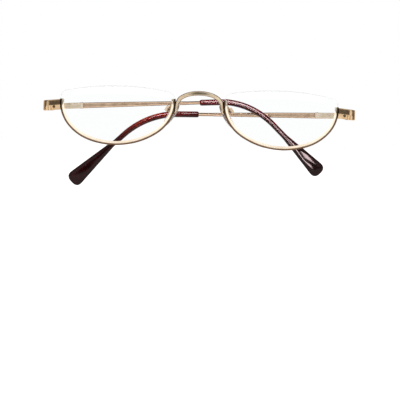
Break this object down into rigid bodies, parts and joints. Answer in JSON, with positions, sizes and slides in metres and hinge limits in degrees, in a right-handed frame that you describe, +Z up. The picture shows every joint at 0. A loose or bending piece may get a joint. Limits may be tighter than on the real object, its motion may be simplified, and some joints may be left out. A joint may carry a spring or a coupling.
{
  "type": "half eye reading glasses",
  "caption": "Folded half eye reading glasses: clear lenses over a thin lower eyewire, arched metal bridge, nose pads on arms, spring hinged metal temples with dark sleeves.",
  "frame": {"origin": "middle of the nose gap: under the bridge's middle, at the height of the end pieces and level with the front of the eyewires", "axes": "+X towards the wearer's left, +Y from the front towards the wearer's ears, +Z up"},
  "size_m": [0.1314, 0.0168, 0.0427],
  "materials": {
    "champagne_gold": "pale gold plated, polished",
    "gold_screws": "gold plated screw heads",
    "spring_steel": "bright drawn wire",
    "clear_lens": "clear optical resin",
    "clear_line": "clear nylon line",
    "burgundy_acetate": "polished dark red-brown acetate",
    "clear_silicone": "clear soft silicone",
    "clear_core": "clear hard resin insert"
  },
  "bodies": {
    "front": {"bridge": "champagne_gold", "left_eyewire": "champagne_gold", "left_lens": "clear_lens", "left_lens_line": "clear_line", "left_end_piece": "champagne_gold", "left_closing_screw": "gold_screws", "left_front_knuckles": "champagne_gold", "left_hinge_screw": "gold_screws", "left_pad_arm": "champagne_gold", "left_pad_box": "champagne_gold", "left_pad_screw": "gold_screws", "right_eyewire": "champagne_gold", "right_lens": "clear_lens", "right_lens_line": "clear_line", "right_end_piece": "champagne_gold", "right_closing_screw": "gold_screws", "right_front_knuckles": "champagne_gold", "right_hinge_screw": "gold_screws", "right_pad_arm": "champagne_gold", "right_pad_box": "champagne_gold", "right_pad_screw": "gold_screws"},
    "left_pad": {"left_nose_pad": "clear_silicone", "left_pad_core": "clear_core"},
    "left_carriage": {"left_carriage": "champagne_gold", "left_spring_rod": "spring_steel", "left_hinge_spring": "spring_steel"},
    "left_temple": {"left_spring_housing": "champagne_gold", "left_spring_stop": "spring_steel", "left_temple": "champagne_gold", "left_temple_tip": "burgundy_acetate"},
    "right_pad": {"right_nose_pad": "clear_silicone", "right_pad_core": "clear_core"},
    "right_carriage": {"right_carriage": "champagne_gold", "right_spring_rod": "spring_steel", "right_hinge_spring": "spring_steel"},
    "right_temple": {"right_spring_housing": "champagne_gold", "right_spring_stop": "spring_steel", "right_temple": "champagne_gold", "right_temple_tip": "burgundy_acetate"}
  },
  "joints": [
    {"name": "left_hinge", "type": "hinge", "parent": "front", "child": "left_carriage", "pos_m": [0.0628, 0.0097, -0.0009], "axis": [0.0209, 0, -0.9998], "range_deg": [0, 96.9]},
    {"name": "left_spring_slide", "type": "slide", "parent": "left_carriage", "child": "left_temple", "axis": [-0.9996, 0.0192, -0.0209], "range_m": [0, 0.0015], "stiffness_N_per_m": 300, "springref_m": -0.003, "deforming": ["left_hinge_spring"]},
    {"name": "left_pad_rock", "type": "hinge", "parent": "front", "child": "left_pad", "pos_m": [0.01328, 0.00439, -0.00045], "axis": [0.3906, 0.8829, 0.2605], "range_deg": [-8, 8]},
    {"name": "right_hinge", "type": "hinge", "parent": "front", "child": "right_carriage", "pos_m": [-0.0628, 0.0097, -0.0009], "axis": [-0.0576, 0, 0.9983], "range_deg": [0, 99]},
    {"name": "right_spring_slide", "type": "slide", "parent": "right_carriage", "child": "right_temple", "axis": [0.9982, -0.0175, 0.0576], "range_m": [0, 0.0015], "stiffness_N_per_m": 300, "springref_m": -0.003, "deforming": ["right_hinge_spring"]},
    {"name": "right_pad_rock", "type": "hinge", "parent": "front", "child": "right_pad", "pos_m": [-0.01328, 0.00439, -0.00045], "axis": [-0.3906, 0.8829, 0.2605], "range_deg": [-8, 8]}
  ]
}
